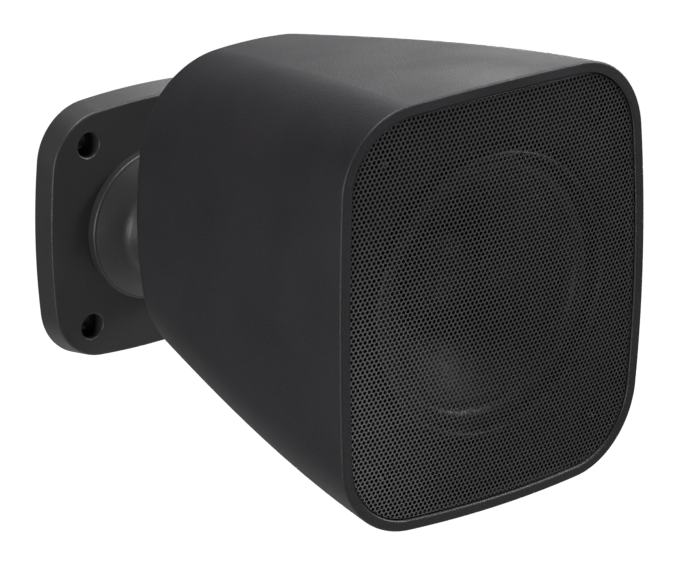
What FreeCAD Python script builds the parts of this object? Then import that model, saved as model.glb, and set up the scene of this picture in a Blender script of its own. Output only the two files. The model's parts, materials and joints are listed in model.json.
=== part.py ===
import FreeCAD
import Part
import Sketcher
import math
import os
import re

# Wall speaker, millimetres. The origin is the middle of the wall plate's back face,
# +X to the right of someone facing the speaker, +Y into the wall, +Z up.

SIZES = {
    # where the main pieces stand, measured out from the wall and up from the plate's middle
    "joint_reach": 50.0,
    "joint_set": 0.4,
    "axis_rise": 21.3,
    # cabinet, outside
    "front_half_width": 56.65,
    "front_half_height": 63.9,
    "front_corner": 24.3,
    "front_side_radius": 680.0,
    "rear_half_width": 40.2,
    "rear_half_height": 47.5,
    "rear_corner": 31.2,
    "rear_side_radius": 118.0,
    "cabinet_depth": 123.6,
    "taper_power": 1.36,
    "rear_round": 10.0,
    "loft_lead": 4.0,
    # crowned front
    "crown_across": 472.0,
    "crown_upright": 990.0,
    "rim_proud": 0.8,
    "rim_edge": 0.6,
    # cabinet, inside
    "wall": 3.3,
    "rear_wall": 3.6,
    "ledge_width": 2.6,
    "ledge_thick": 3.0,
    "boss_radius": 4.2,
    "boss_length": 20.0,
    "boss_bury": 1.4,
    # grille
    "grille_sheet": 0.5,
    "grille_gap": 0.2,
    "grille_fold": 1.2,
    # baffle
    "baffle_set": 5.6,
    "baffle_thick": 4.0,
    "baffle_gap": 0.3,
    "opening_bevel": 1.6,
    "seal_thick": 1.0,
    "baffle_screw_inset": 17.7,
    "screw_sink": 1.4,
    "screw_seat_radius": 4.4,
    # screws of the baffle, the driver and the terminal plate
    "screw_radius": 1.5,
    "screw_head_radius": 2.9,
    "screw_head_height": 2.0,
    "screw_length": 12.0,
    "driver_screw_length": 5.2,
    "terminal_screw_length": 8.0,
    "screw_play": 0.05,
    "screw_pass": 0.3,
    # driver
    "driver_margin": 4.55,
    "frame_land": 5.6,
    "frame_lip": 2.4,
    "frame_sheet": 2.0,
    "frame_neck_inset": 6.6,
    "basket_depth": 33.0,
    "basket_back": 31.0,
    "basket_ledge": 24.0,
    "basket_bore": 15.0,
    "driver_screw_inset": 3.4,
    "driver_screw_angle": 45.0,
    "window_count": 4,
    "spoke_angle": 11.0,
    "cone_depth": 19.0,
    "cone_curve": 60.0,
    "cone_sheet": 0.7,
    "roll_radius": 3.0,
    "roll_sheet": 0.6,
    "lip_width": 2.0,
    "coil_radius": 12.7,
    "coil_sheet": 0.4,
    "coil_wind": 0.5,
    "coil_wind_length": 7.5,
    "coil_lead": 2.5,
    "glue_gap": 0.05,
    "cap_rise": 5.0,
    "cap_sheet": 0.5,
    "spider_radius": 31.0,
    "spider_foot": 2.2,
    "spider_waves": 3,
    "spider_sheet": 0.5,
    "top_plate_radius": 28.0,
    "top_plate_thick": 4.5,
    "pole_gap": 0.6,
    "magnet_radius": 31.0,
    "magnet_bore": 17.0,
    "magnet_thick": 12.0,
    "yoke_thick": 5.0,
    "vent_radius": 4.0,
    # ball joint
    "ball_radius": 18.5,
    "neck_radius": 8.5,
    "joint_gap": 0.3,
    "liner_thick": 1.4,
    "cup_edge": 65.0,
    "cup_hole": 7.0,
    "ring_start": 1.5,
    "lip_reach": 9.0,
    "seat_extra": 1.1,
    "spigot_wall": 2.5,
    "spigot_reach": 4.0,
    "thread_gap": 0.2,
    "collar_wall": 3.0,
    "collar_stand": 0.8,
    "collar_edge": 1.0,
    "grip_count": 24,
    "grip_radius": 1.1,
    # wall plate and post
    "plate_half_width": 38.0,
    "plate_half_height": 42.0,
    "plate_corner": 18.4,
    "plate_side_radius": 235.0,
    "plate_thick": 8.7,
    "plate_draft": 0.2,
    "plate_lean": 1.6,
    "plate_edge": 0.6,
    "plate_wall": 3.0,
    "plate_hole_x": 23.3,
    "plate_hole_z": 29.4,
    "plate_hole_radius": 2.25,
    "plate_sink_radius": 4.0,
    "plate_sink": 5.0,
    "plate_sink_edge": 0.5,
    "plate_boss_radius": 7.0,
    "rib_half": 1.0,
    "hub_radius": 13.0,
    "post_radius": 24.2,
    "post_rim": 3.0,
    "post_edge": 0.8,
    "post_dome": 40.0,
    "shoulder_radius": 16.6,
    "shoulder_rise": 4.1,
    "stem_radius": 14.6,
    "stem_rise": 2.1,
    "stem_fillet": 4.0,
    "tenon_radius": 11.0,
    "tenon_height": 3.0,
    "tenon_play": 0.1,
    # through bolt of the ball
    "bolt_radius": 3.0,
    "bolt_pass": 0.3,
    "bolt_head_radius": 5.0,
    "bolt_head_height": 6.0,
    "bolt_sink": 8.0,
    "bolt_end": 0.6,
    "nut_flats": 5.0,
    "nut_height": 5.0,
    "nut_play": 0.15,
    # terminals on the cabinet's rear
    "terminal_rise": 20.0,
    "terminal_half_width": 18.5,
    "terminal_half_height": 10.0,
    "terminal_corner": 3.0,
    "terminal_flange": 2.0,
    "terminal_gap": 0.2,
    "terminal_boss": 3.4,
    "terminal_boss_height": 5.0,
    "terminal_screw_x": 15.2,
    "dish_depth": 11.0,
    "dish_half_width": 12.0,
    "dish_half_height": 7.5,
    "dish_wall": 1.6,
    "block_half_width": 8.6,
    "block_half_height": 3.6,
    "block_height": 7.0,
    "block_pitch": 8.6,
    "clamp_radius": 2.0,
    "clamp_head": 1.2,
    "wire_hole": 1.3,
}

doc = FreeCAD.newDocument("wall_speaker")
sheet = doc.addObject("Spreadsheet::Sheet", "Sizes")
for row, (alias, size) in enumerate(SIZES.items(), start=1):
    sheet.set(f"A{row}", alias)
    sheet.set(f"B{row}", str(size))
    sheet.setAlias(f"B{row}", alias)
doc.recompute()

parts = []

# Levels behind the grille's crown that several pieces share
BAFFLE_BACK = "(baffle_set + baffle_thick)"
FRAME_FACE = f"({BAFFLE_BACK} + seal_thick)"
MOTOR_FACE = f"({FRAME_FACE} + basket_depth)"
MAGNET_FACE = f"({MOTOR_FACE} + top_plate_thick)"
YOKE_FACE = f"({MAGNET_FACE} + magnet_thick)"
JOINT_DEPTH = "(cabinet_depth + joint_set)"
FRONT_REACH = f"(joint_reach + {JOINT_DEPTH})"

# Radii that several pieces share
LINER_IN = "(ball_radius + joint_gap)"
LINER_OUT = f"({LINER_IN} + liner_thick)"
SEAT_RADIUS = f"({LINER_OUT} + joint_gap)"
SPIGOT_RADIUS = f"({SEAT_RADIUS} + spigot_wall)"
FRAME_RADIUS = "(front_half_width - wall - driver_margin)"
OPENING_RADIUS = f"({FRAME_RADIUS} - frame_land)"
ROLL_END = f"({OPENING_RADIUS} - frame_lip)"
CONE_RADIUS = f"({ROLL_END} - 2 * roll_radius)"
FORMER_RADIUS = "(coil_radius + coil_sheet)"
WIND_RADIUS = f"({FORMER_RADIUS} + coil_wind)"
NECK_SEAT = "(joint_reach - sqrt(ball_radius ^ 2 - neck_radius ^ 2))"


def tied(text):
    """The expression with each size's word pointed at the sheet."""
    return re.sub(r"[a-z_]+", lambda word: f"Sizes.{word[0]}" if word[0] in SIZES else word[0], text)


def now(text):
    """The expression's present value."""
    return float(sheet.evalExpression(tied(text)))


def new_body(label):
    body = doc.addObject("PartDesign::Body", label)
    body.Label = label
    return body


def plane(body, role):
    return next(feature for feature in body.Origin.OriginFeatures if feature.Role == role)


def keep(piece, home):
    """List a finished piece and set it where it belongs: at the wall, the joint or the cabinet."""
    if home == "joint":
        piece.setExpression("Placement.Base.y", tied("-joint_reach"))
    if home == "cabinet":
        piece.setExpression("Placement.Base.y", tied(f"-{FRONT_REACH}"))
        piece.setExpression("Placement.Base.z", tied("axis_rise"))
    doc.recompute()
    parts.append(piece)
    return piece


def sketch_in(body, name, role="XY_Plane", depth=None):
    """A sketch on one of the body's planes. On XZ_Plane, depth sets it that far along +Y."""
    sketch = body.newObject("Sketcher::SketchObject", f"{body.Label}_{name}")
    sketch.AttachmentSupport = [(plane(body, role), "")]
    sketch.MapMode = "FlatFace"
    if depth is not None:
        sketch.setExpression("AttachmentOffset.Base.z", tied(f"-({depth})"))
    return sketch


def fix_point(sketch, edge, end, x, y):
    """Tie one end or centre of an edge to its two coordinates."""
    for axis, kind, text in ((-2, "DistanceX", x), (-1, "DistanceY", y)):
        if text == "0":
            sketch.addConstraint(Sketcher.Constraint("PointOnObject", edge, end, axis))
        else:
            index = sketch.addConstraint(Sketcher.Constraint(kind, -1, 1, edge, end, now(text)))
            sketch.setExpression(f"Constraints[{index}]", tied(text))


def fix_radius(sketch, edge, text):
    index = sketch.addConstraint(Sketcher.Constraint("Radius", edge, now(text)))
    sketch.setExpression(f"Constraints[{index}]", tied(text))


def draw(sketch, corners):
    """A closed outline. A corner is (x, y), or (x, y, radius, turn) where an arc leaves it.

    Turn is 1 or -1."""
    spots = [FreeCAD.Vector(now(corner[0]), now(corner[1]), 0) for corner in corners]
    ends = []
    for start, corner in enumerate(corners):
        here = spots[start]
        there = spots[(start + 1) % len(spots)]
        if len(corner) == 2:
            ends.append((sketch.addGeometry(Part.LineSegment(here, there)), 1, 2))
            continue
        radius = now(corner[2])
        run = there - here
        across = FreeCAD.Vector(-run.y, run.x, 0).normalize()
        offset = math.sqrt(max(radius ** 2 - run.Length ** 2 / 4, 0))
        centre = (here + there) * 0.5 + across * offset * corner[3]
        first, last = (here, there) if corner[3] > 0 else (there, here)
        angles = [math.atan2(spot.y - centre.y, spot.x - centre.x) for spot in (first, last)]
        circle = Part.Circle(centre, FreeCAD.Vector(0, 0, 1), radius)
        edge = sketch.addGeometry(Part.ArcOfCircle(circle, *angles))
        ends.append((edge, 1, 2) if corner[3] > 0 else (edge, 2, 1))
        fix_radius(sketch, edge, corner[2])
    for start, corner in enumerate(corners):
        edge, begin, finish = ends[start]
        after, after_begin, after_finish = ends[(start + 1) % len(ends)]
        sketch.addConstraint(Sketcher.Constraint("Coincident", edge, finish, after, after_begin))
        fix_point(sketch, edge, begin, corner[0], corner[1])


def draw_circle(sketch, x, y, radius):
    circle = Part.Circle(FreeCAD.Vector(now(x), now(y), 0), FreeCAD.Vector(0, 0, 1), now(radius))
    edge = sketch.addGeometry(circle)
    fix_radius(sketch, edge, radius)
    fix_point(sketch, edge, 3, x, y)


def draw_box(sketch, x, y, half_width, half_height):
    """A plain rectangle round the point x, y."""
    left, right = f"{x} - ({half_width})", f"{x} + ({half_width})"
    low, high = f"{y} - ({half_height})", f"{y} + ({half_height})"
    draw(sketch, [(left, low), (right, low), (right, high), (left, high)])


def draw_round_box(sketch, x, y, half_width, half_height, corner):
    """A rectangle round the point x, y with quarter-round corners."""
    left, right = f"{x} - ({half_width})", f"{x} + ({half_width})"
    low, high = f"{y} - ({half_height})", f"{y} + ({half_height})"
    draw(sketch, [
        (f"{left} + {corner}", low),
        (f"{right} - ({corner})", low, corner, 1),
        (right, f"{low} + {corner}"),
        (right, f"{high} - ({corner})", corner, 1),
        (f"{right} - ({corner})", high),
        (f"{left} + {corner}", high, corner, 1),
        (left, f"{high} - ({corner})"),
        (left, f"{low} + {corner}", corner, 1),
    ])


def draw_pebble(sketch, half_width, half_height, side_radius, corner):
    """Four slightly bowed sides joined by four round corners, all tangent."""
    wide, high, side, bend = (now(text) for text in (half_width, half_height, side_radius, corner))
    side_x, side_y = wide - side, high - side
    span = math.hypot(side_x, side_y)
    half_gap = span / 2
    reach = math.sqrt((side - bend) ** 2 - half_gap ** 2)
    corner_x = side_x / 2 - side_y / span * reach
    corner_y = side_y / 2 - side_x / span * reach
    lean = math.atan2(corner_y, corner_x - side_x)
    rise = math.atan2(corner_y - side_y, corner_x)
    quarter = math.pi / 2
    arcs = [
        (side_x, 0, side, -lean, lean),
        (corner_x, corner_y, bend, lean, rise),
        (0, side_y, side, rise, 2 * quarter - rise),
        (-corner_x, corner_y, bend, 2 * quarter - rise, 2 * quarter - lean),
        (-side_x, 0, side, 2 * quarter - lean, 2 * quarter + lean),
        (-corner_x, -corner_y, bend, 2 * quarter + lean, 2 * quarter + rise),
        (0, -side_y, side, 2 * quarter + rise, 4 * quarter - rise),
        (corner_x, -corner_y, bend, 4 * quarter - rise, 4 * quarter - lean),
    ]
    edges = []
    for x, y, radius, first, last in arcs:
        circle = Part.Circle(FreeCAD.Vector(x, y, 0), FreeCAD.Vector(0, 0, 1), radius)
        edges.append(sketch.addGeometry(Part.ArcOfCircle(circle, first, last)))
    for here, there in zip(edges, edges[1:] + edges[:1]):
        sketch.addConstraint(Sketcher.Constraint("Tangent", here, 2, there, 1))
    for index in (2, 4, 6):
        sketch.addConstraint(Sketcher.Constraint("Equal", edges[0], edges[index]))
        sketch.addConstraint(Sketcher.Constraint("Equal", edges[1], edges[index + 1]))
    fix_radius(sketch, edges[0], side_radius)
    fix_radius(sketch, edges[1], corner)
    fix_point(sketch, edges[0], 3, f"{half_width} - ({side_radius})", "0")
    fix_point(sketch, edges[2], 3, "0", f"{half_height} - ({side_radius})")
    fix_point(sketch, edges[4], 3, f"{side_radius} - ({half_width})", "0")
    fix_point(sketch, edges[6], 3, "0", f"{side_radius} - ({half_height})")


def draw_station(sketch, depth, inset):
    """The cabinet's outline at a depth behind the grille's crown, drawn in by the inset."""
    share = f"((({depth}) + loft_lead) / (cabinet_depth + loft_lead))"

    def between(front, rear, power):
        return f"({front} + ({rear} - {front}) * {share} ^ {power} - ({inset}))"

    draw_pebble(
        sketch,
        between("front_half_width", "rear_half_width", "taper_power"),
        between("front_half_height", "rear_half_height", "taper_power"),
        between("front_side_radius", "rear_side_radius", "1"),
        between("front_corner", "rear_corner", "1"),
    )


def axis_line(sketch, start, end):
    """A construction line to turn a profile about."""
    ends = [FreeCAD.Vector(now(x), now(y), 0) for x, y in (start, end)]
    edge = sketch.addGeometry(Part.LineSegment(*ends), True)
    fix_point(sketch, edge, 1, *start)
    fix_point(sketch, edge, 2, *end)


def feature(body, kind, name, sketch, **settings):
    made = body.newObject(f"PartDesign::{kind}", f"{body.Label}_{name}")
    made.Profile = sketch
    for key, setting in settings.items():
        if isinstance(setting, str) and key in ("Length", "Angle"):
            made.setExpression(key, tied(setting))
        else:
            setattr(made, key, setting)
    doc.recompute()
    return made


def turned(label, home, corners):
    """A piece turned about the Y axis from its half section, drawn as radius and depth."""
    body = new_body(label)
    sketch = sketch_in(body, "section")
    draw(sketch, corners)
    feature(body, "Revolution", "turn", sketch, ReferenceAxis=(sketch, ["V_Axis"]))
    return keep(body, home) if home else body


def ring_of(body, original, count):
    """Repeat a feature evenly about the Y axis."""
    pattern = body.newObject("PartDesign::PolarPattern", f"{original.Name}_ring")
    pattern.Originals = [original]
    pattern.Axis = (plane(body, "Y_Axis"), [""])
    pattern.Angle = 360
    pattern.setExpression("Occurrences", tied(count))
    body.Tip = pattern
    doc.recompute()
    return pattern


def round_off(body, name, radius, edges):
    """Fillet some edges of the body's last feature."""
    base = body.Tip
    chosen = [
        f"Edge{number}" for number, edge in enumerate(base.Shape.Edges, start=1)
        if any(edge.isSame(other) for other in edges)
    ]
    made = body.newObject("PartDesign::Fillet", f"{body.Label}_{name}")
    made.Base = (base, chosen)
    made.setExpression("Radius", tied(radius))
    doc.recompute()
    return made


def crown_cut(body, set_back, edge_radius):
    """Cut the front of a body to the crown, set back from the grille's own face, and round its edges."""
    sketch = sketch_in(body, "crown")
    half = "(front_half_width + 2 * wall)"
    radius = f"(crown_across - ({set_back}))"
    edge = f"(crown_across - sqrt({radius} ^ 2 - {half} ^ 2))"
    clear = "(-3 * loft_lead)"
    draw(sketch, [
        (f"-{half}", clear),
        (half, clear),
        (half, edge, radius, -1),
        (f"-{half}", edge),
    ])
    axis_line(sketch, ("-wall", "crown_upright"), ("wall", "crown_upright"))
    cut = feature(body, "Groove", "crown_cut", sketch,
                  ReferenceAxis=(sketch, ["Axis0"]), Angle=20.0, Midplane=True)
    crown = next(face for face in cut.Shape.Faces if face.Surface.TypeId == "Part::GeomToroid")
    round_off(body, "crown_edge", edge_radius, crown.Edges)


def tapered(body, kind, name, rear, bend, inset):
    """The cabinet's tapering form from ahead of the front to a depth, with a round rear edge."""
    shoulder = f"({rear} - {bend})"
    flank = [(f"({step} / 3 * ({shoulder} + loft_lead) - loft_lead)", inset) for step in range(4)]
    edge = [
        (f"({shoulder} + {bend} * sin({turn}))", f"({inset} + {bend} * (1 - cos({turn})))")
        for turn in (0, 30, 60, 90)
    ]
    for stretch, stations in (("flank", flank), ("edge", edge)):
        sketches = []
        for number, (depth, draw_in) in enumerate(stations):
            sketch = sketch_in(body, f"{name}_{stretch}_{number}", "XZ_Plane", depth)
            draw_station(sketch, depth, draw_in)
            sketches.append(sketch)
        feature(body, kind, f"{name}_{stretch}", sketches[0], Sections=sketches[1:])


def corners_of(x, z):
    """The four corners of a rectangle about the axis."""
    return [(f"({across} * {x})", f"({up} * {z})") for across in (-1, 1) for up in (-1, 1)]


def on_circle(radius, angle, count):
    """Spots spread evenly on a circle, the first at an angle from the x axis."""
    turns = [f"({angle} + {step} * 360 / {count})" for step in range(count)]
    return [(f"({radius} * cos({turn}))", f"({radius} * sin({turn}))") for turn in turns]


def bore(body, name, depth, spots, radius, length, way):
    """Round holes at the spots, from a depth along +Y (way 1) or -Y (way -1)."""
    sketch = sketch_in(body, name, "XZ_Plane", depth)
    for x, z in spots:
        draw_circle(sketch, x, z, radius)
    feature(body, "Pocket", f"{name}_cut", sketch, Length=length, Reversed=way < 0)


def studs(body, name, depth, spots, radius, length, way):
    """Round studs at the spots, from a depth along +Y (way 1) or -Y (way -1)."""
    sketch = sketch_in(body, name, "XZ_Plane", depth)
    for x, z in spots:
        draw_circle(sketch, x, z, radius)
    feature(body, "Pad", f"{name}_pad", sketch, Length=length, Reversed=way > 0)


def slab(body, name, depth, outline, length, way, kind="Pad"):
    """A pad or pocket of one outline, from a depth along +Y (way 1) or -Y (way -1)."""
    sketch = sketch_in(body, name, "XZ_Plane", depth)
    outline(sketch)
    feature(body, kind, f"{name}_{kind.lower()}", sketch,
            Length=length, Reversed=(way > 0) == (kind == "Pad"))


def pan_screws(label, home, spots, seat, length, way):
    """Round-headed screws at the spots. The heads stand on the seat, the shanks run along way."""
    body = new_body(label)
    body.AllowCompound = True
    crown, brim = (f"{seat} - ({way} * {share} * screw_head_height)" for share in (1, 0.35))
    dome = "(0.65 * screw_head_height)"
    for number, (x, z) in enumerate(spots):
        sketch = sketch_in(body, f"section_{number}", "XY_Plane", f"-({z})")
        draw(sketch, [
            (x, crown, f"((screw_head_radius ^ 2 + {dome} ^ 2) / (2 * {dome}))", way),
            (f"{x} + screw_head_radius", brim),
            (f"{x} + screw_head_radius", seat),
            (f"{x} + screw_radius", seat),
            (f"{x} + screw_radius", f"{seat} + ({way} * {length})"),
            (x, f"{seat} + ({way} * {length})"),
        ])
        axis_line(sketch, (x, crown), (x, seat))
        feature(body, "Revolution", f"turn_{number}", sketch, ReferenceAxis=(sketch, ["Axis0"]))
    return keep(body, home)


BAFFLE_SPOTS = corners_of(
    "(front_half_width - baffle_screw_inset)", "(front_half_height - baffle_screw_inset)")
DRIVER_SPOTS = on_circle(f"({FRAME_RADIUS} - driver_screw_inset)", "driver_screw_angle", 4)
TERMINAL_SPOTS = [(f"({side} * terminal_screw_x)", "terminal_rise") for side in (-1, 1)]
PLATE_SPOTS = corners_of("plate_hole_x", "plate_hole_z")
CLAMP_SPOTS = [(f"({side} * block_pitch / 2)", "terminal_rise") for side in (-1, 1)]
PILOT = "(screw_radius + screw_play)"
PASS_HOLE = "(screw_radius + screw_pass)"


def make_cabinet_shell():
    body = new_body("cabinet_shell")
    tapered(body, "AdditiveLoft", "outside", "cabinet_depth", "rear_round", "0")
    tapered(body, "SubtractiveLoft", "inside", "(cabinet_depth - rear_wall)", "(rear_round - wall)",
            "wall")
    crown_cut(body, "-rim_proud", "rim_edge")

    # ledge that the baffle's seal lies on
    def ledge(sketch):
        draw_station(sketch, FRAME_FACE, "(wall / 2)")
        draw_station(sketch, FRAME_FACE, "(wall + ledge_width)")

    slab(body, "ledge", FRAME_FACE, ledge, "ledge_thick", 1)

    # screw bosses, each webbed out to its corner
    sketch = sketch_in(body, "bosses", "XZ_Plane", FRAME_FACE)
    skew = f"({math.sqrt(0.5)} * boss_radius)"
    halves = ("front_half_width", "front_half_height")
    near_x, near_z = (f"({half} - baffle_screw_inset)" for half in halves)
    far_x, far_z = (
        f"({half} - {1 - math.sqrt(0.5)} * front_corner - wall - boss_bury)" for half in halves
    )
    for east in (-1, 1):
        for north in (-1, 1):
            draw(sketch, [(f"{east} * {x}", f"{north} * {z}") for x, z in (
                (f"({near_x} - {skew})", f"({near_z} + {skew})"),
                (f"({near_x} - {skew})", f"({near_z} - {skew})"),
                (f"({near_x} + {skew})", f"({near_z} - {skew})"),
                (f"({far_x} + {skew})", f"({far_z} - {skew})"),
                (f"({far_x} - {skew})", f"({far_z} + {skew})"),
            )])
    feature(body, "Pad", "bosses_pad", sketch, Length="boss_length", Reversed=True)
    studs(body, "boss_faces", BAFFLE_BACK, BAFFLE_SPOTS, "boss_radius", "(seal_thick + wall)", 1)
    bore(body, "pilots", BAFFLE_BACK, BAFFLE_SPOTS, PILOT, "screw_length", 1)

    # seat of the ball, low on the rear, with the spigot for its collar
    centre, middle = JOINT_DEPTH, "(-axis_rise)"
    shoulder = f"({SPIGOT_RADIUS} + seat_extra)"
    mouth = f"({centre} + spigot_reach)"
    sketch = sketch_in(body, "seat", "YZ_Plane")
    draw(sketch, [
        (f"{centre} - {shoulder}", middle, shoulder, -1),
        (f"{centre} - sqrt({shoulder} ^ 2 - {SPIGOT_RADIUS} ^ 2)", f"{middle} + {SPIGOT_RADIUS}"),
        (mouth, f"{middle} + {SPIGOT_RADIUS}"),
        (mouth, middle),
    ])
    axis_line(sketch, (centre, middle), (mouth, middle))
    feature(body, "Revolution", "seat_turn", sketch, ReferenceAxis=(sketch, ["Axis0"]))
    sketch = sketch_in(body, "socket", "YZ_Plane")
    beyond = f"({mouth} + spigot_wall)"
    draw(sketch, [
        (f"{centre} - {SEAT_RADIUS}", middle, SEAT_RADIUS, -1),
        (centre, f"{middle} + {SEAT_RADIUS}"),
        (beyond, f"{middle} + {SEAT_RADIUS}"),
        (beyond, middle),
    ])
    axis_line(sketch, (centre, middle), (mouth, middle))
    feature(body, "Groove", "socket_turn", sketch, ReferenceAxis=(sketch, ["Axis0"]))

    # window and rebate of the terminal plate
    studs(body, "terminal_boss", "(cabinet_depth - rear_wall)", TERMINAL_SPOTS, "terminal_boss",
          "terminal_boss_height", -1)

    def rebate(sketch):
        draw_round_box(sketch, "0", "terminal_rise", "terminal_half_width + terminal_gap",
                       "terminal_half_height + terminal_gap", "terminal_corner")

    def window(sketch):
        draw_box(sketch, "0", "terminal_rise",
                 "dish_half_width + terminal_gap", "dish_half_height + terminal_gap")

    slab(body, "rebate", "cabinet_depth", rebate, "terminal_flange", -1, "Pocket")
    slab(body, "window", "cabinet_depth", window, "(dish_depth + rear_wall)", -1, "Pocket")
    bore(body, "terminal_pilots", "cabinet_depth", TERMINAL_SPOTS, PILOT,
         "(terminal_screw_length + screw_play)", -1)
    return keep(body, "cabinet")


def make_front_baffle():
    body = new_body("front_baffle")
    slab(body, "panel", "baffle_set",
         lambda sketch: draw_station(sketch, BAFFLE_BACK, "(wall + baffle_gap)"), "baffle_thick", 1)
    sketch = sketch_in(body, "opening")
    draw(sketch, [
        ("0", "baffle_set"),
        (f"{OPENING_RADIUS} + opening_bevel", "baffle_set"),
        (OPENING_RADIUS, "baffle_set + opening_bevel"),
        (OPENING_RADIUS, BAFFLE_BACK),
        ("0", BAFFLE_BACK),
    ])
    feature(body, "Groove", "opening_cut", sketch, ReferenceAxis=(sketch, ["V_Axis"]))
    bore(body, "seats", "baffle_set", BAFFLE_SPOTS, "screw_seat_radius", "screw_sink", 1)
    bore(body, "holes", "baffle_set", BAFFLE_SPOTS, PASS_HOLE, "baffle_thick", 1)
    bore(body, "driver_pilots", BAFFLE_BACK, DRIVER_SPOTS, PILOT, "0.75 * baffle_thick", -1)
    return keep(body, "cabinet")


def make_baffle_seal():
    body = new_body("baffle_seal")

    def ring(sketch):
        draw_station(sketch, FRAME_FACE, "(wall + baffle_gap)")
        draw_station(sketch, FRAME_FACE, "(wall + ledge_width)")

    slab(body, "ring", BAFFLE_BACK, ring, "seal_thick", 1)
    return keep(body, "cabinet")


def crowned_block(label, inset, set_back, edge_radius):
    """A block with the grille's outline and a crowned front."""
    body = new_body(label)
    slab(body, "block", "-loft_lead",
         lambda sketch: draw_station(sketch, "baffle_set", inset), "loft_lead + baffle_set", 1)
    crown_cut(body, set_back, edge_radius)
    return body


def make_grille():
    grille = doc.addObject("Part::Cut", "grille")
    grille.Label = "grille"
    grille.Base = crowned_block("grille_outside", "(wall + grille_gap)", "0", "grille_fold")
    grille.Tool = crowned_block("grille_inside", "(wall + grille_gap + grille_sheet)", "grille_sheet",
                                "(grille_fold - grille_sheet)")
    return keep(grille, "cabinet")


def make_terminals():
    plate = new_body("terminal_plate")
    slab(plate, "flange", "cabinet_depth", lambda sketch: draw_round_box(
        sketch, "0", "terminal_rise", "terminal_half_width", "terminal_half_height", "terminal_corner"),
        "terminal_flange", -1)
    slab(plate, "dish", "cabinet_depth", lambda sketch: draw_box(
        sketch, "0", "terminal_rise", "dish_half_width", "dish_half_height"), "dish_depth", -1)
    slab(plate, "hollow", "cabinet_depth", lambda sketch: draw_box(
        sketch, "0", "terminal_rise", "(dish_half_width - dish_wall)", "(dish_half_height - dish_wall)"),
        "(dish_depth - dish_wall)", -1, "Pocket")
    bore(plate, "holes", "cabinet_depth", TERMINAL_SPOTS, PASS_HOLE, "terminal_flange", -1)
    keep(plate, "cabinet")
    pan_screws("terminal_screws", "cabinet", TERMINAL_SPOTS, "cabinet_depth", "terminal_screw_length", -1)

    floor = "(cabinet_depth - dish_depth + dish_wall)"
    top = f"({floor} + block_height)"
    block = new_body("terminal_block")
    slab(block, "body", floor, lambda sketch: draw_box(
        sketch, "0", "terminal_rise", "block_half_width", "block_half_height"), "block_height", 1)
    bore(block, "recess", top, CLAMP_SPOTS, "(clamp_radius + screw_play)", "(2 * clamp_head)", -1)
    sketch = sketch_in(block, "wires", "XY_Plane", "(block_half_height - terminal_rise)")
    for x, _ in CLAMP_SPOTS:
        draw_circle(sketch, x, f"({floor} + block_height / 3)", "wire_hole")
    feature(block, "Pocket", "wires_cut", sketch, Length="block_half_height", Reversed=True)
    keep(block, "cabinet")

    clamps = new_body("clamp_screws")
    clamps.AllowCompound = True
    studs(clamps, "head", f"({top} - 2 * clamp_head)", CLAMP_SPOTS, "clamp_radius", "clamp_head", 1)
    keep(clamps, "cabinet")


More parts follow.
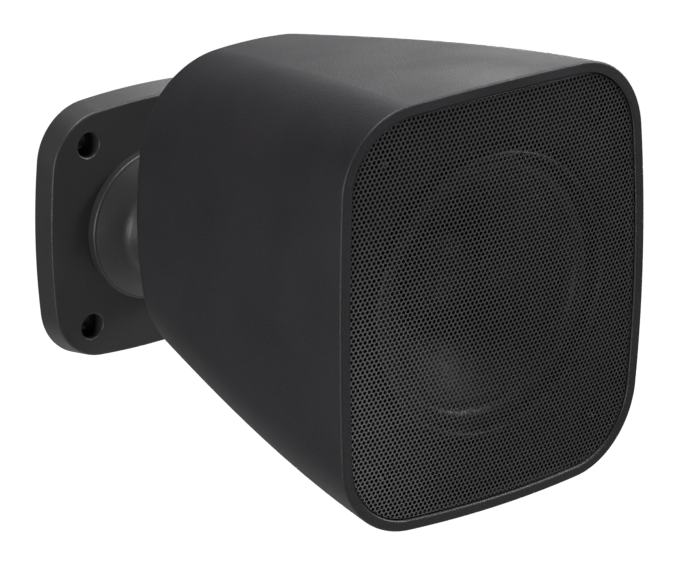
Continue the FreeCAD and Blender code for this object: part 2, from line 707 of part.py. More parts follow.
def make_driver():
    face = FRAME_FACE
    body = turned("driver_seal", None, [
        (OPENING_RADIUS, BAFFLE_BACK), (FRAME_RADIUS, BAFFLE_BACK),
        (FRAME_RADIUS, face), (OPENING_RADIUS, face),
    ])
    bore(body, "holes", BAFFLE_BACK, DRIVER_SPOTS, PASS_HOLE, "seal_thick", 1)
    keep(body, "cabinet")

    # basket: flange, conical wall with windows between spokes, ledge for the spider, rear ring
    rear = MOTOR_FACE
    ledge = f"({face} + basket_ledge)"
    step = "(spider_radius - spider_foot + glue_gap)"
    body = turned("basket", None, [
        (ROLL_END, face), (FRAME_RADIUS, face), (FRAME_RADIUS, f"{face} + frame_sheet"),
        (f"{FRAME_RADIUS} - frame_neck_inset", f"{face} + frame_sheet"),
        ("basket_back", rear), ("basket_bore", rear), ("basket_bore", f"{rear} - frame_sheet"),
        (step, f"{rear} - frame_sheet"), (step, ledge),
        ("spider_radius + joint_gap", ledge),
    ])
    sketch = sketch_in(body, "window", "XZ_Plane", face)
    inner, outer = "(spider_radius + frame_sheet)", f"({ROLL_END} - glue_gap)"
    spread = "(180 / window_count - spoke_angle)"
    draw(sketch, [
        (f"-{inner} * sin({spread})", f"{inner} * cos({spread})", inner, -1),
        (f"{inner} * sin({spread})", f"{inner} * cos({spread})"),
        (f"{outer} * sin({spread})", f"{outer} * cos({spread})", outer, 1),
        (f"-{outer} * sin({spread})", f"{outer} * cos({spread})"),
    ])
    window = feature(body, "Pocket", "window_cut", sketch, Length="basket_depth")
    ring_of(body, window, "window_count")
    bore(body, "holes", face, DRIVER_SPOTS, PASS_HOLE, "frame_sheet", 1)
    keep(body, "cabinet")
    pan_screws("driver_screws", "cabinet", DRIVER_SPOTS, f"({face} + frame_sheet)",
               "driver_screw_length", -1)

    # surround: a half roll between two flat lips
    middle = f"({CONE_RADIUS} + roll_radius)"
    front, under = f"({face} - roll_sheet)", "(roll_radius - roll_sheet)"
    foot = "sqrt(roll_radius ^ 2 - roll_sheet ^ 2)"
    turned("surround", "cabinet", [
        (f"{CONE_RADIUS} - lip_width", front),
        (f"{middle} - {foot}", front, "roll_radius", 1),
        (middle, f"{face} - roll_radius", "roll_radius", 1),
        (f"{middle} + {foot}", front),
        (f"{ROLL_END} + lip_width", front),
        (f"{ROLL_END} + lip_width", face),
        (f"{middle} + {under}", face, under, -1),
        (middle, f"{face} - {under}", under, -1),
        (f"{middle} - {under}", face),
        (f"{CONE_RADIUS} - lip_width", face),
    ])

    # cone, dust cap and voice coil, which travel together
    neck, end = f"({FORMER_RADIUS} + glue_gap)", f"({face} + cone_depth)"
    brim = f"({CONE_RADIUS} - lip_width)"
    turned("cone", "cabinet", [
        (CONE_RADIUS, face), (brim, face, "cone_curve", -1), (neck, end),
        (neck, f"{end} + 1.5 * cone_sheet", "cone_curve", 1), (brim, f"{face} + cone_sheet"),
        (CONE_RADIUS, f"{face} + cone_sheet"),
    ])
    lead = f"({end} - coil_lead)"
    cap_in, cap_in_rise = f"({FORMER_RADIUS} - 2 * cap_sheet)", "(cap_rise - cap_sheet)"
    turned("dust_cap", "cabinet", [
        ("0", f"{lead} - cap_rise", f"(({FORMER_RADIUS} ^ 2 + cap_rise ^ 2) / (2 * cap_rise))", 1),
        (FORMER_RADIUS, lead),
        (cap_in, lead, f"(({cap_in} ^ 2 + {cap_in_rise} ^ 2) / (2 * {cap_in_rise}))", -1),
        ("0", f"{lead} - {cap_in_rise}"),
    ])
    wind_end = f"({rear} + (top_plate_thick + coil_wind_length) / 2)"
    wind_start = f"({wind_end} - coil_wind_length)"
    turned("voice_coil", "cabinet", [
        ("coil_radius", lead), (FORMER_RADIUS, lead), (FORMER_RADIUS, wind_start),
        (WIND_RADIUS, wind_start), (WIND_RADIUS, wind_end), ("coil_radius", wind_end),
    ])

    # spider: a corrugated disc between the coil and the basket's ledge
    hub, toe = f"({neck} + spider_foot)", "(spider_radius - spider_foot)"
    halves = 2 * int(now("spider_waves"))
    wave = f"(({toe} - {hub}) / {halves})"
    top, bottom = f"({ledge} - spider_sheet)", ledge
    bend = f"(0.7 * {wave})"
    ridges = [(f"{hub} + {step} * {wave}", top, bend, 1 - 2 * (step % 2)) for step in range(halves)]
    troughs = [
        (f"{hub} + {step} * {wave}", bottom, bend, 1 - 2 * (step % 2)) for step in range(halves, 0, -1)
    ]
    turned("spider", "cabinet", [
        (neck, top), *ridges, (toe, top), ("spider_radius", top), ("spider_radius", bottom),
        *troughs, (hub, bottom), (neck, bottom),
    ])

    # motor
    gap_radius = f"({WIND_RADIUS} + pole_gap)"
    pole = "(coil_radius - pole_gap)"
    turned("top_plate", "cabinet", [
        (gap_radius, rear), ("top_plate_radius", rear),
        ("top_plate_radius", MAGNET_FACE), (gap_radius, MAGNET_FACE),
    ])
    turned("magnet", "cabinet", [
        ("magnet_bore", MAGNET_FACE), ("magnet_radius", MAGNET_FACE),
        ("magnet_radius", YOKE_FACE), ("magnet_bore", YOKE_FACE),
    ])
    turned("yoke", "cabinet", [
        ("vent_radius", rear), (pole, rear), (pole, YOKE_FACE), ("top_plate_radius", YOKE_FACE),
        ("top_plate_radius", f"{YOKE_FACE} + yoke_thick"), ("vent_radius", f"{YOKE_FACE} + yoke_thick"),
    ])


def make_joint():
    # liners: a cup ahead of the ball and a ring behind it, both free to slip on it
    def at(radius, depth):
        return f"sqrt({radius} ^ 2 - {depth} ^ 2)"

    turned("liner_cup", "joint", [
        ("cup_hole", f"-{at(LINER_IN, 'cup_hole')}", LINER_IN, 1),
        (f"{LINER_IN} * sin(cup_edge)", f"-{LINER_IN} * cos(cup_edge)"),
        (f"{LINER_OUT} * sin(cup_edge)", f"-{LINER_OUT} * cos(cup_edge)", LINER_OUT, -1),
        ("cup_hole", f"-{at(LINER_OUT, 'cup_hole')}"),
    ])
    turned("liner_ring", "joint", [
        (at(LINER_IN, "ring_start"), "ring_start", LINER_IN, 1),
        (at(LINER_IN, "lip_reach"), "lip_reach"),
        (at(LINER_OUT, "lip_reach"), "lip_reach", LINER_OUT, -1),
        (at(LINER_OUT, "ring_start"), "ring_start"),
    ])

    # locking collar, screwed on to the spigot
    thread = f"({SPIGOT_RADIUS} + thread_gap)"
    outside = f"({thread} + collar_wall)"
    front = f"(cabinet_depth - {JOINT_DEPTH} + collar_stand)"
    shoulder = "(spigot_reach + thread_gap)"
    body = turned("locking_collar", None, [
        (thread, front), (thread, shoulder), (at(SEAT_RADIUS, shoulder), shoulder, SEAT_RADIUS, 1),
        (at(SEAT_RADIUS, "lip_reach"), "lip_reach"), (f"{outside} - collar_edge", "lip_reach"),
        (outside, "lip_reach - collar_edge"), (outside, front),
    ])
    sketch = sketch_in(body, "grip", "XZ_Plane", front)
    draw_circle(sketch, "0", outside, "grip_radius")
    grip = feature(body, "Pocket", "grip_cut", sketch, Length="lip_reach")
    ring_of(body, grip, "grip_count")
    keep(body, "joint")

    # ball with its flat for the post and its recess for the bolt's head
    hole, recess = "(bolt_radius + bolt_pass)", "(bolt_head_radius + bolt_pass)"
    floor = "(bolt_sink - ball_radius)"
    flat = at("ball_radius", "neck_radius")
    turned("pivot_ball", "joint", [
        (hole, flat), (hole, floor), (recess, floor),
        (recess, f"-{at('ball_radius', recess)}", "ball_radius", 1), ("neck_radius", flat),
    ])
    turned("ball_bolt", "joint", [
        ("0", f"{floor} - bolt_head_height"), ("bolt_head_radius", f"{floor} - bolt_head_height"),
        ("bolt_head_radius", floor), ("bolt_radius", floor), ("bolt_radius", "joint_reach - bolt_end"),
        ("0", "joint_reach - bolt_end"),
    ])


def draw_hexagon(sketch, half_flats):
    corner = f"({half_flats} / cos(30))"
    draw(sketch, [(f"{corner} * cos({turn})", f"{corner} * sin({turn})") for turn in range(30, 390, 60)])


def make_bracket():
    body = new_body("wall_plate")
    front = "(-plate_thick)"
    shoulder = "(plate_edge - plate_thick)"

    def outline(sketch, depth, inset):
        """The plate's outline at a depth, its flanks drafted and its top and bottom leaning in more."""
        draft = f"({inset} - ({depth}) * plate_draft / plate_thick)"
        lean = f"({inset} - ({depth}) * plate_lean / plate_thick)"
        draw_pebble(sketch, f"(plate_half_width - {draft})", f"(plate_half_height - {lean})",
                    f"(plate_side_radius - {draft})", f"(plate_corner - {draft})")

    flank = [("0", "0"), (shoulder, "0")]
    edge = [
        (f"({shoulder} - plate_edge * sin({turn}))", f"(plate_edge * (1 - cos({turn})))")
        for turn in (0, 30, 60, 90)
    ]
    for stretch, stations in (("flank", flank), ("edge", edge)):
        sketches = []
        for number, (depth, inset) in enumerate(stations):
            sketch = sketch_in(body, f"{stretch}_{number}", "XZ_Plane", depth)
            outline(sketch, depth, inset)
            sketches.append(sketch)
        feature(body, "AdditiveLoft", stretch, sketches[0], Sections=sketches[1:])

    # hollow back with hub, screw bosses and ribs down to the wall
    hollow = "(plate_thick - plate_wall)"
    slab(body, "hollow", "0",
         lambda sketch: outline(sketch, "0", "(plate_wall + plate_lean)"), hollow, -1, "Pocket")
    fill = f"({hollow} + plate_wall / 2)"
    studs(body, "hub", "0", [("0", "0")], "hub_radius", fill, -1)
    studs(body, "bosses", "0", PLATE_SPOTS, "plate_boss_radius", fill, -1)
    slab(body, "upright_rib", "0", lambda sketch: draw_box(
        sketch, "0", "0", "rib_half", "(plate_half_height - plate_wall / 2 - plate_lean)"), fill, -1)
    slab(body, "cross_rib", "0", lambda sketch: draw_box(
        sketch, "0", "0", "(plate_half_width - plate_wall / 2 - plate_lean)", "rib_half"), fill, -1)
    studs(body, "tenon", front, [("0", "0")], "tenon_radius", "tenon_height", -1)
    bore(body, "screw_holes", front, PLATE_SPOTS, "plate_hole_radius", "plate_thick", 1)
    bore(body, "screw_sinks", front, PLATE_SPOTS, "plate_sink_radius", "plate_sink", 1)
    mouths = [
        edge for edge in body.Tip.Shape.Edges
        if edge.Curve.TypeId == "Part::GeomCircle"
        and math.isclose(edge.Curve.Radius, now("plate_sink_radius"), abs_tol=1e-6)
        and math.isclose(edge.CenterOfMass.y, now(front), abs_tol=1e-6)
    ]
    round_off(body, "sink_edges", "plate_sink_edge", mouths)
    bore(body, "bolt_hole", f"({front} - tenon_height)", [("0", "0")], "(bolt_radius + bolt_pass)",
         "(plate_thick + tenon_height)", 1)
    slab(body, "nut_trap", "0",
         lambda sketch: draw_hexagon(sketch, "(nut_flats + nut_play)"), "nut_height", -1, "Pocket")
    keep(body, "wall")

    # post: a foot with a rounded edge and a low dome, filleted into the taper that carries the ball
    crest = f"({front} - post_rim)"
    shoulder = f"({crest} - shoulder_rise)"
    hole = "(bolt_radius + bolt_pass)"
    pocket, pocket_end = "(tenon_radius + tenon_play)", f"({front} - tenon_height - tenon_play)"
    turned("post", "wall", [
        (hole, pocket_end),
        (pocket, pocket_end),
        (pocket, front),
        ("post_radius", front),
        ("post_radius", f"{crest} + post_edge", "post_edge", -1),
        ("post_radius - post_edge", crest, "post_dome", -1),
        ("shoulder_radius", shoulder, "stem_fillet", 1),
        ("stem_radius", f"{shoulder} - stem_rise"),
        ("neck_radius", f"-{NECK_SEAT}"),
        (hole, f"-{NECK_SEAT}"),
    ])

    nut = new_body("ball_nut")
    slab(nut, "hexagon", "0", lambda sketch: draw_hexagon(sketch, "nut_flats"), "nut_height", -1)
    bore(nut, "thread", "0", [("0", "0")], "(bolt_radius + screw_play)", "nut_height", -1)
    keep(nut, "wall")


make_bracket()
make_joint()
make_cabinet_shell()
make_front_baffle()
make_baffle_seal()
pan_screws("baffle_screws", "cabinet", BAFFLE_SPOTS, "(baffle_set + screw_sink)", "screw_length", 1)
make_grille()
make_terminals()
make_driver()

doc.recompute()
failed = [item.Label for item in doc.Objects if "Invalid" in item.State or "Error" in item.State]
failed += [piece.Label for piece in parts if piece.Shape.isNull() or not piece.Shape.isValid()]
if failed:
    raise RuntimeError(f"not built: {', '.join(failed)}")
os.makedirs("parts", exist_ok=True)
for piece in parts:
    piece.Shape.exportStep(f"parts/{piece.Label}.step")
    print(piece.Label, len(piece.Shape.Solids), "solid", round(piece.Shape.Volume, 1), "mm3")
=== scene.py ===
import json
import math

import bmesh
import bpy
from mathutils import Matrix, Vector

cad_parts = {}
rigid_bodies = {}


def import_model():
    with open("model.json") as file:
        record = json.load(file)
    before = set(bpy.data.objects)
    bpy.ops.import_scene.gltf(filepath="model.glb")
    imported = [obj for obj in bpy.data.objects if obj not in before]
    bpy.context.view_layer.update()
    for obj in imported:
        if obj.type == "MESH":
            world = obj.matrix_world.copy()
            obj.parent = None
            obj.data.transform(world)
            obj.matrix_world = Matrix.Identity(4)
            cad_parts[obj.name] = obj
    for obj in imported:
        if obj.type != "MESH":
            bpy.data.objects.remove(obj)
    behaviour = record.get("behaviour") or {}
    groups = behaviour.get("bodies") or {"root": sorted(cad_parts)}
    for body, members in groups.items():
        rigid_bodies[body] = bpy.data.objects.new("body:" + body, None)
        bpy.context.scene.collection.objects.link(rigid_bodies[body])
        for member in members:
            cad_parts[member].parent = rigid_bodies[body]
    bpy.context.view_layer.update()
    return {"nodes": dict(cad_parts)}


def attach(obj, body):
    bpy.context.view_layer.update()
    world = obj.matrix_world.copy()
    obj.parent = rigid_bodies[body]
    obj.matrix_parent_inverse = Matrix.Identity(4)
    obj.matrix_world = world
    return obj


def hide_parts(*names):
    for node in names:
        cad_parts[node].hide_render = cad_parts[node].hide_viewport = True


for leftover in list(bpy.data.objects):  # the start-up cube, lamp and camera
    bpy.data.objects.remove(leftover)

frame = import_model()
nodes = frame["nodes"]
mm = 0.001
fullTurn = 2 * math.pi
print("frame loaded:", len(nodes), "nodes")


# Wires: sockets that can be added, multiplied and compared, in shader and geometry trees alike

class Wire:
    def __init__(self, graph, socket):
        self.graph = graph
        self.socket = socket

    def maths(self, operation, first, second=0.0):
        return self.graph.node("ShaderNodeMath", {"operation": operation}, {0: first, 1: second})

    def of(self, operation, second=0.0):  # a function of this wire, such as its sine
        return self.maths(operation, self, second)

    def __add__(self, other):
        return self.maths("ADD", self, other)

    def __radd__(self, other):
        return self.maths("ADD", other, self)

    def __sub__(self, other):
        return self.maths("SUBTRACT", self, other)

    def __rsub__(self, other):
        return self.maths("SUBTRACT", other, self)

    def __mul__(self, other):
        return self.maths("MULTIPLY", self, other)

    def __rmul__(self, other):
        return self.maths("MULTIPLY", other, self)

    def __truediv__(self, other):
        return self.maths("DIVIDE", self, other)

    def __gt__(self, other):
        return self.maths("GREATER_THAN", self, other)

    def __lt__(self, other):
        return self.maths("LESS_THAN", self, other)


class Graph:
    def __init__(self, tree):
        self.tree = tree

    def node(self, kind, settings=None, sockets=None, output=0):
        made = self.tree.nodes.new(kind)
        for name, value in (settings or {}).items():
            setattr(made, name, value)
        for name, value in (sockets or {}).items():
            socket = made.inputs[name]
            if isinstance(value, Wire):
                self.tree.links.new(value.socket, socket)
            elif isinstance(value, list):  # one input that takes many links
                for wire in value:
                    self.tree.links.new(wire.socket, socket)
            else:
                socket.default_value = value
        return Wire(self, made.outputs[output]) if made.outputs else None

    def outputs(self, wire):  # every output of the node that a wire comes from
        return {socket.name: Wire(self, socket) for socket in wire.socket.node.outputs}

    def blendColours(self, factor, first, second):
        return self.node("ShaderNodeMix", {"data_type": "RGBA", "clamp_factor": True}, {
            0: factor, 6: first, 7: second}, output=2)

    def groundColour(self, glow):  # white to look at, but a weak light on the object
        seen = self.node("ShaderNodeLightPath", output="Is Camera Ray")
        return self.blendColours(seen, (glow, glow, glow, 1.0), (1.0, 1.0, 1.0, 1.0))


def tone(grey, warm=0.0, violet=0.0):
    # a screen grey level 0 to 255 as linear colour, by the sRGB curve, with a cast
    level = grey / 255.0
    linear = level / 12.92 if level <= 0.04045 else ((level + 0.055) / 1.055) ** 2.4
    return (linear * (1 + warm), linear * (1 - violet), linear * (1 - warm + violet), 1.0)


def rgb(red, green, blue):
    return tuple(tone(level)[0] for level in (red, green, blue)) + (1.0,)


# Materials: grain sizes and relief depths in millimetres, tones in screen grey levels

noiseBand, narrowBand = (0.3, 0.7), (0.35, 0.65)  # where a noise has most of its values


class Finish(Graph):
    def __init__(self, name):
        self.material = bpy.data.materials.new(name)
        self.material.use_nodes = True
        super().__init__(self.material.node_tree)
        self.tree.nodes.clear()
        self.coords = self.node("ShaderNodeTexCoord", output="Object")

    def noise(self, size, detail=2.0, rough=0.5, coords=None):
        return self.node("ShaderNodeTexNoise", {}, {
            "Vector": coords or self.coords, "Scale": 1 / (size * mm),
            "Detail": detail, "Roughness": rough})

    def cells(self, size):
        return self.node("ShaderNodeTexVoronoi", {"feature": "F1"}, {
            "Vector": self.coords, "Scale": 1 / (size * mm)})

    def mixed(self, first, second, share):  # the share is the first one's
        return first * share + second * (1 - share)

    def spread(self, wire, low, high, band):  # the band's values drawn out from low to high
        return self.node("ShaderNodeMapRange", {"clamp": True}, {
            "Value": wire, "From Min": band[0], "From Max": band[1],
            "To Min": low, "To Max": high})

    def share(self, wire, band):
        return self.spread(wire, 0.0, 1.0, band)

    def roughness(self, wire, rough, span, band=noiseBand):
        return self.spread(wire, rough + span[0], rough + span[1], band)

    def relief(self, height, look, scale=1.0):
        return self.node("ShaderNodeBump", {}, {
            "Height": height, "Distance": look["depth"] * scale * mm,
            "Strength": look["strength"]})

    def close(self, sockets):
        shader = self.node("ShaderNodeBsdfPrincipled", {}, sockets)
        self.node("ShaderNodeOutputMaterial", {}, {"Surface": shader})
        return self.material


mouldedLook = dict(pits=0.5, tooth=0.2, patch=26.0, pitBand=(0.15, 0.75), pitHeight=0.65,
                   toothHeight=0.55, patchTint=0.5, colourBand=(0.55, 1.15), patchShare=0.7,
                   roughSpan=(-0.05, 0.06), depth=0.07, strength=0.55)


def mouldedPlastic(name, grey, shift=5.0, rough=0.52, specular=0.5, grain=1.0, violet=0.0):
    # charcoal plastic out of a spark-textured mould: pits, a finer tooth, faint patches of handling
    look = mouldedLook
    finish = Finish(name)
    pits = finish.cells(look["pits"] * grain)
    tooth = finish.noise(look["tooth"] * grain, detail=3.0, rough=0.6)
    patch = finish.noise(look["patch"], detail=3.0)
    height = finish.share(pits, look["pitBand"]) * look["pitHeight"] + tooth * look["toothHeight"]
    colour = finish.blendColours(
        finish.share(height + patch * look["patchTint"], look["colourBand"]),
        tone(grey - shift, violet=violet), tone(grey + shift, violet=violet))
    gloss = finish.mixed(patch, tooth, look["patchShare"])
    return finish.close({
        "Base Color": colour,
        "Roughness": finish.roughness(gloss, rough, look["roughSpan"], narrowBand),
        "Specular IOR Level": specular,
        "Normal": finish.relief(height, look, grain)})


smoothLook = dict(flow=9.0, scuff=0.5, darker=3, lighter=4, scuffShare=0.6,
                  roughSpan=(-0.07, 0.1), depth=0.004, strength=0.4)


def smoothPlastic(name, grey, rough, warm=0.0):
    # polished moulding: slow flow marks under a fine scuff
    look = smoothLook
    finish = Finish(name)
    flow = finish.noise(look["flow"], detail=4.0)
    scuff = finish.noise(look["scuff"], detail=4.0, rough=0.7)
    colour = finish.blendColours(
        finish.share(flow, narrowBand),
        tone(grey - look["darker"], warm), tone(grey + look["lighter"], warm))
    gloss = finish.mixed(scuff, flow, look["scuffShare"])
    return finish.close({
        "Base Color": colour,
        "Roughness": finish.roughness(gloss, rough, look["roughSpan"]),
        "Normal": finish.relief(scuff, look)})


coatLook = dict(peel=0.55, dust=0.11, wide=18.0, shift=5, peelTint=0.5, peelHeight=0.7,
                specular=0.6, roughSpan=(-0.06, 0.08), depth=0.012, strength=0.5)


def coatedMetal(name, grey, rough):
    # powder coat: orange peel with a tight sparkle in the roughness
    look = coatLook
    finish = Finish(name)
    peel = finish.noise(look["peel"])
    dust = finish.noise(look["dust"], rough=0.7)
    wide = finish.noise(look["wide"])
    colour = finish.blendColours(
        finish.share(finish.mixed(peel, wide, look["peelTint"]), narrowBand),
        tone(grey - look["shift"]), tone(grey + look["shift"]))
    return finish.close({
        "Base Color": colour,
        "Roughness": finish.roughness(dust, rough, look["roughSpan"], narrowBand),
        "Specular IOR Level": look["specular"],
        "Normal": finish.relief(finish.mixed(peel, dust, look["peelHeight"]), look)})


metalLook = dict(cloud=4.0, mark=0.3, cloudShare=0.7, stainBand=(0.38, 0.66),
                 roughSpan=(-0.08, 0.12), depth=0.006, strength=0.5)


def bareMetal(name, colour, dark, rough):
    # plated or turned metal: cloudy stain and fine tool marks
    look = metalLook
    finish = Finish(name)
    cloud = finish.noise(look["cloud"], detail=5.0, rough=0.6)
    mark = finish.noise(look["mark"], detail=3.0, rough=0.7)
    stain = finish.share(finish.mixed(cloud, mark, look["cloudShare"]), look["stainBand"])
    return finish.close({
        "Base Color": finish.blendColours(stain, dark, colour),
        "Metallic": 1.0,
        "Roughness": finish.roughness(mark, rough, look["roughSpan"]),
        "Normal": finish.relief(mark, look)})


pulpLook = dict(fibre=0.32, second=0.3, stretch=0.22, crossing=62, lint=1.8, warm=0.03,
                tones=(0.75, 1.25), fibreShare=0.7, colourBand=(0.36, 0.64),
                roughSpan=(-0.08, 0.1), depth=0.06, strength=0.6)


def paperPulp(name, grey, rough, specular):
    # pressed and sealed cone pulp: long fibres that lie two ways, and lint
    look = pulpLook
    finish = Finish(name)
    stretched = finish.node("ShaderNodeMapping", {}, {
        "Vector": finish.coords, "Scale": (1.0, 1.0, look["stretch"])})
    crossed = finish.node("ShaderNodeMapping", {}, {
        "Vector": finish.coords, "Rotation": (0.0, math.radians(look["crossing"]), 0.0),
        "Scale": (look["stretch"], 1.0, 1.0)})
    fibre = finish.noise(look["fibre"], detail=4.0, rough=0.65, coords=stretched)
    second = finish.noise(look["second"], detail=4.0, rough=0.65, coords=crossed)
    lint = finish.noise(look["lint"], detail=4.0)
    height = finish.mixed(fibre, second, 0.5)
    dark, light = look["tones"]
    colour = finish.blendColours(
        finish.share(finish.mixed(height, lint, look["fibreShare"]), look["colourBand"]),
        tone(grey * dark, look["warm"]), tone(grey * light, look["warm"]))
    return finish.close({
        "Base Color": colour,
        "Roughness": finish.roughness(lint, rough, look["roughSpan"]),
        "Specular IOR Level": specular,
        "Normal": finish.relief(height, look)})


clothLook = dict(lint=0.4, crossBand=(-0.3, 0.3), weaveShare=0.75, colourBand=(0.2, 0.95),
                 lintHeight=0.3, roughSpan=(-0.08, 0.12), depth=0.05, strength=0.6)


def wovenCloth(name, thread, gap, pitch, rough=0.8, specular=0.5, sheen=0.25):
    # plain weave across X and Z: each thread goes over and under
    look = clothLook
    finish = Finish(name)
    axes = finish.outputs(finish.node("ShaderNodeSeparateXYZ", {}, {"Vector": finish.coords}))
    turn = math.pi / (pitch * mm)

    def ridge(wire, shift=0.0):
        return (wire * turn + shift).of("SINE")

    warp, weft = ridge(axes["X"]).of("ABSOLUTE"), ridge(axes["Z"]).of("ABSOLUTE")
    crossing = ridge(axes["X"], math.pi / 2) * ridge(axes["Z"], math.pi / 2)
    over = finish.share(crossing, look["crossBand"])
    height = warp * over + weft * (1 - over)
    lint = finish.noise(look["lint"], detail=4.0, rough=0.7)
    colour = finish.blendColours(
        finish.share(finish.mixed(height, lint, look["weaveShare"]), look["colourBand"]),
        gap, thread)
    return finish.close({
        "Base Color": colour,
        "Roughness": finish.roughness(lint, rough, look["roughSpan"]),
        "Specular IOR Level": specular,
        "Sheen Weight": sheen,
        "Normal": finish.relief(height + lint * look["lintHeight"], look)})


rubberLook = dict(bloom=7.0, skin=0.25, tones=(0.85, 1.25), bloomBand=(0.35, 0.7),
                  bloomShare=0.6, roughSpan=(-0.1, 0.12), depth=0.01, strength=0.5)


def softRubber(name, grey, rough, specular):
    # moulded rubber: a cloudy bloom over a fine skin
    look = rubberLook
    finish = Finish(name)
    bloom = finish.noise(look["bloom"], detail=5.0, rough=0.6)
    skin = finish.noise(look["skin"], detail=3.0)
    dark, light = look["tones"]
    colour = finish.blendColours(
        finish.share(bloom, look["bloomBand"]), tone(grey * dark), tone(grey * light))
    gloss = finish.mixed(bloom, skin, look["bloomShare"])
    return finish.close({
        "Base Color": colour,
        "Roughness": finish.roughness(gloss, rough, look["roughSpan"], narrowBand),
        "Specular IOR Level": specular,
        "Normal": finish.relief(skin, look)})


foamLook = dict(pore=0.5, fine=0.2, poreBand=(0.05, 0.6), darker=18, lighter=10, poreHeight=0.8,
                roughFrom=0.85, roughTo=0.98, depth=0.12, strength=0.8)


def openFoam(name, grey):
    look = foamLook
    finish = Finish(name)
    pore = finish.cells(look["pore"])
    fine = finish.noise(look["fine"], detail=3.0)
    height = finish.share(pore, look["poreBand"])
    return finish.close({
        "Base Color": finish.blendColours(
            height, tone(grey - look["darker"]), tone(grey + look["lighter"])),
        "Roughness": finish.spread(fine, look["roughFrom"], look["roughTo"], noiseBand),
        "Normal": finish.relief(finish.mixed(height, fine, look["poreHeight"]), look)})


ferriteLook = dict(grain=0.5, chip=3.5, chipBand=(0.02, 0.2), grainHeight=0.7, shift=10,
                   metallic=0.15, roughFrom=0.5, roughTo=0.75, depth=0.03, strength=0.6)


def sinteredFerrite(name, grey):
    look = ferriteLook
    finish = Finish(name)
    grain = finish.noise(look["grain"], detail=6.0, rough=0.7)
    chip = finish.share(finish.cells(look["chip"]), look["chipBand"])
    colour = finish.blendColours(
        finish.share(grain, narrowBand), tone(grey - look["shift"]), tone(grey + look["shift"]))
    return finish.close({
        "Base Color": colour,
        "Roughness": finish.spread(grain, look["roughFrom"], look["roughTo"], noiseBand),
        "Metallic": look["metallic"],
        "Normal": finish.relief(finish.mixed(grain, chip, look["grainHeight"]), look)})


finishes = {
    "shell_plastic": mouldedPlastic("shellPlastic", 31, rough=0.5, specular=0.4,
                                    grain=1.25, violet=0.08),
    "bracket_plastic": mouldedPlastic("bracketPlastic", 42, shift=3.0, rough=0.44, specular=0.42),
    "baffle_plastic": mouldedPlastic("bafflePlastic", 8, shift=2.0, rough=0.66, specular=0.15,
                                     grain=1.3),
    "grille_metal": coatedMetal("grilleCoat", 66, 0.28),
    "ball_plastic": smoothPlastic("ballPlastic", 40, 0.3),
    "liner_plastic": smoothPlastic("linerPlastic", 205, 0.42, 0.03),
    "terminal_plastic": mouldedPlastic("terminalPlastic", 36, rough=0.46, grain=0.8),
    "block_plastic": smoothPlastic("blockPlastic", 62, 0.4),
    "bolt_steel": bareMetal("boltSteel", rgb(178, 178, 172), rgb(128, 127, 122), 0.34),
    "screw_steel": bareMetal("screwSteel", rgb(196, 196, 198), rgb(140, 140, 142), 0.26),
    "clamp_brass": bareMetal("clampBrass", rgb(214, 176, 92), rgb(160, 122, 58), 0.3),
    "seal_foam": openFoam("sealFoam", 44),
    "basket_metal": coatedMetal("basketCoat", 38, 0.5),
    "surround_rubber": softRubber("surroundRubber", 16, 0.4, specular=0.35),
    "cone_paper": paperPulp("conePulp", 15, 0.46, specular=0.16),
    "cap_fabric": wovenCloth("capCloth", tone(20), tone(8), 0.55, rough=0.42, specular=0.25,
                             sheen=0.05),
    "coil_aluminium": bareMetal("coilAluminium", rgb(196, 198, 200), rgb(150, 152, 154), 0.32),
    "spider_fabric": wovenCloth("spiderCloth", rgb(196, 160, 96), rgb(120, 84, 40), 0.7),
    "motor_steel": bareMetal("motorSteel", rgb(168, 170, 168), rgb(120, 122, 120), 0.36),
    "magnet_ferrite": sinteredFerrite("magnetFerrite", 52),
}

nodeSlots = {
    "wall_plate": "bracket_plastic", "post": "bracket_plastic",
    "locking_collar": "bracket_plastic", "pivot_ball": "ball_plastic",
    "ball_bolt": "bolt_steel", "ball_nut": "bolt_steel",
    "liner_cup": "liner_plastic", "liner_ring": "liner_plastic",
    "cabinet_shell": "shell_plastic", "front_baffle": "baffle_plastic",
    "baffle_seal": "seal_foam", "driver_seal": "seal_foam",
    "baffle_screws": "screw_steel", "driver_screws": "screw_steel",
    "terminal_screws": "screw_steel", "grille": "grille_metal",
    "terminal_plate": "terminal_plastic", "terminal_block": "block_plastic",
    "clamp_screws": "clamp_brass", "basket": "basket_metal",
    "surround": "surround_rubber", "cone": "cone_paper",
    "dust_cap": "cap_fabric", "voice_coil": "coil_aluminium",
    "spider": "spider_fabric", "top_plate": "motor_steel",
    "yoke": "motor_steel", "magnet": "magnet_ferrite",
}
for name, slotName in nodeSlots.items():
    nodes[name].data.materials.clear()
    nodes[name].data.materials.append(finishes[slotName])
print("materials on", len(nodeSlots), "nodes")


# Outlines: the cabinet's pebble section at a depth behind the grille's crown, as eight arcs
# that meet smoothly. All sizes of shapes are in millimetres, pairs run from front to rear

cabinet = dict(frontY=-174.0, rise=21.3, lead=4.0, reach=127.6, taper=1.36,
               halfWidth=(56.65, 40.2), halfHeight=(63.9, 47.5), sideRadius=(680.0, 118.0),
               corner=(24.3, 31.2), crownAcross=472.0, crownUpright=990.0)
section = dict(halvings=60, sideShare=0.34, cornerShare=0.36, topShare=0.3, fewest=2)


